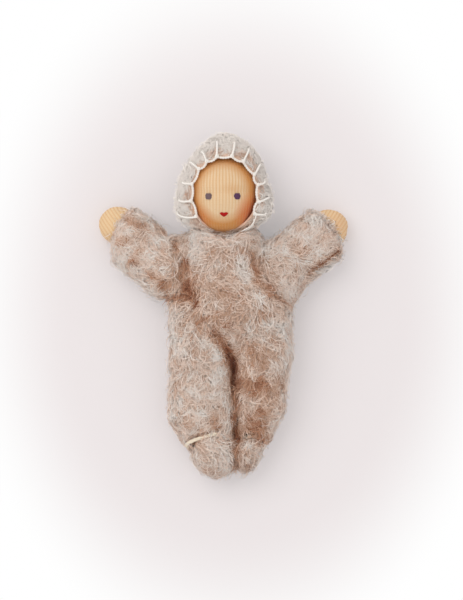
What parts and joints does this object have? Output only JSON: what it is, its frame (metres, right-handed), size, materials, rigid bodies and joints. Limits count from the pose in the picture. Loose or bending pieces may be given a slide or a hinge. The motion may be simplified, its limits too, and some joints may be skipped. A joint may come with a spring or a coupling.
{
  "type": "baby doll",
  "caption": "Soft stuffed baby doll in a hooded long-piled plush suit, with a jersey face and mitten hands, and limbs and head that swing at their seams.",
  "frame": {"origin": "on the flat of the doll's back, below the middle of its trunk, as it lies face up", "axes": "+X towards the doll's left hand, +Y towards its crown, +Z the way its face looks"},
  "size_m": [0.0742, 0.0997, 0.0239],
  "materials": {
    "suit_plush": "long curly mohair plush, cream mottled with beige",
    "skin_jersey": "fine knitted jersey with its wales running up the face, blushed towards its edges",
    "wool": "carded wool stuffing, hidden",
    "white_thread": "white cotton thread",
    "ankle_thread": "cream yarn",
    "eye_wool": "violet-blue embroidery wool in satin stitch",
    "mouth_wool": "deep red embroidery wool in satin stitch"
  },
  "bodies": {
    "torso": {"body_cover": "suit_plush", "body_wool": "wool"},
    "neck": {"neck_roll": "skin_jersey", "neck_thread": "white_thread"},
    "head": {"head_wool": "wool", "head_jersey": "skin_jersey", "right_eye": "eye_wool", "left_eye": "eye_wool", "mouth": "mouth_wool", "hood": "suit_plush", "hood_edging": "white_thread"},
    "right_arm": {"right_sleeve": "suit_plush", "right_arm_wool": "wool", "right_hand_jersey": "skin_jersey", "right_hand_wool": "wool", "right_wrist_thread": "white_thread"},
    "left_arm": {"left_sleeve": "suit_plush", "left_arm_wool": "wool", "left_hand_jersey": "skin_jersey", "left_hand_wool": "wool", "left_wrist_thread": "white_thread"},
    "right_leg": {"right_leg_cover": "suit_plush", "right_foot_cover": "suit_plush", "right_leg_wool": "wool", "right_ankle_thread": "ankle_thread"},
    "left_leg": {"left_leg_cover": "suit_plush", "left_foot_cover": "suit_plush", "left_leg_wool": "wool", "left_ankle_thread": "ankle_thread"}
  },
  "joints": [
    {"name": "head_turn", "type": "hinge", "parent": "torso", "child": "neck", "pos_m": [-0.0018, 0.0333, 0.0124], "axis": [0, 0.9848, 0.1736], "range_deg": [-40, 40]},
    {"name": "head_nod", "type": "hinge", "parent": "neck", "child": "head", "pos_m": [-0.0018, 0.0333, 0.0124], "axis": [1, 0, 0], "range_deg": [-12, 12]},
    {"name": "right_shoulder", "type": "hinge", "parent": "torso", "child": "right_arm", "pos_m": [-0.0176, 0.0111, 0.0069], "axis": [0, 1, 0], "range_deg": [-30, 45]},
    {"name": "left_shoulder", "type": "hinge", "parent": "torso", "child": "left_arm", "pos_m": [0.0144, 0.0099, 0.0069], "axis": [0, -1, 0], "range_deg": [-30, 45]},
    {"name": "right_hip", "type": "hinge", "parent": "torso", "child": "right_leg", "pos_m": [-0.0079, -0.014, 0.0085], "axis": [-1, 0, 0], "range_deg": [-20, 60]},
    {"name": "left_hip", "type": "hinge", "parent": "torso", "child": "left_leg", "pos_m": [0.0101, -0.014, 0.0085], "axis": [-1, 0, 0], "range_deg": [-20, 60]}
  ]
}
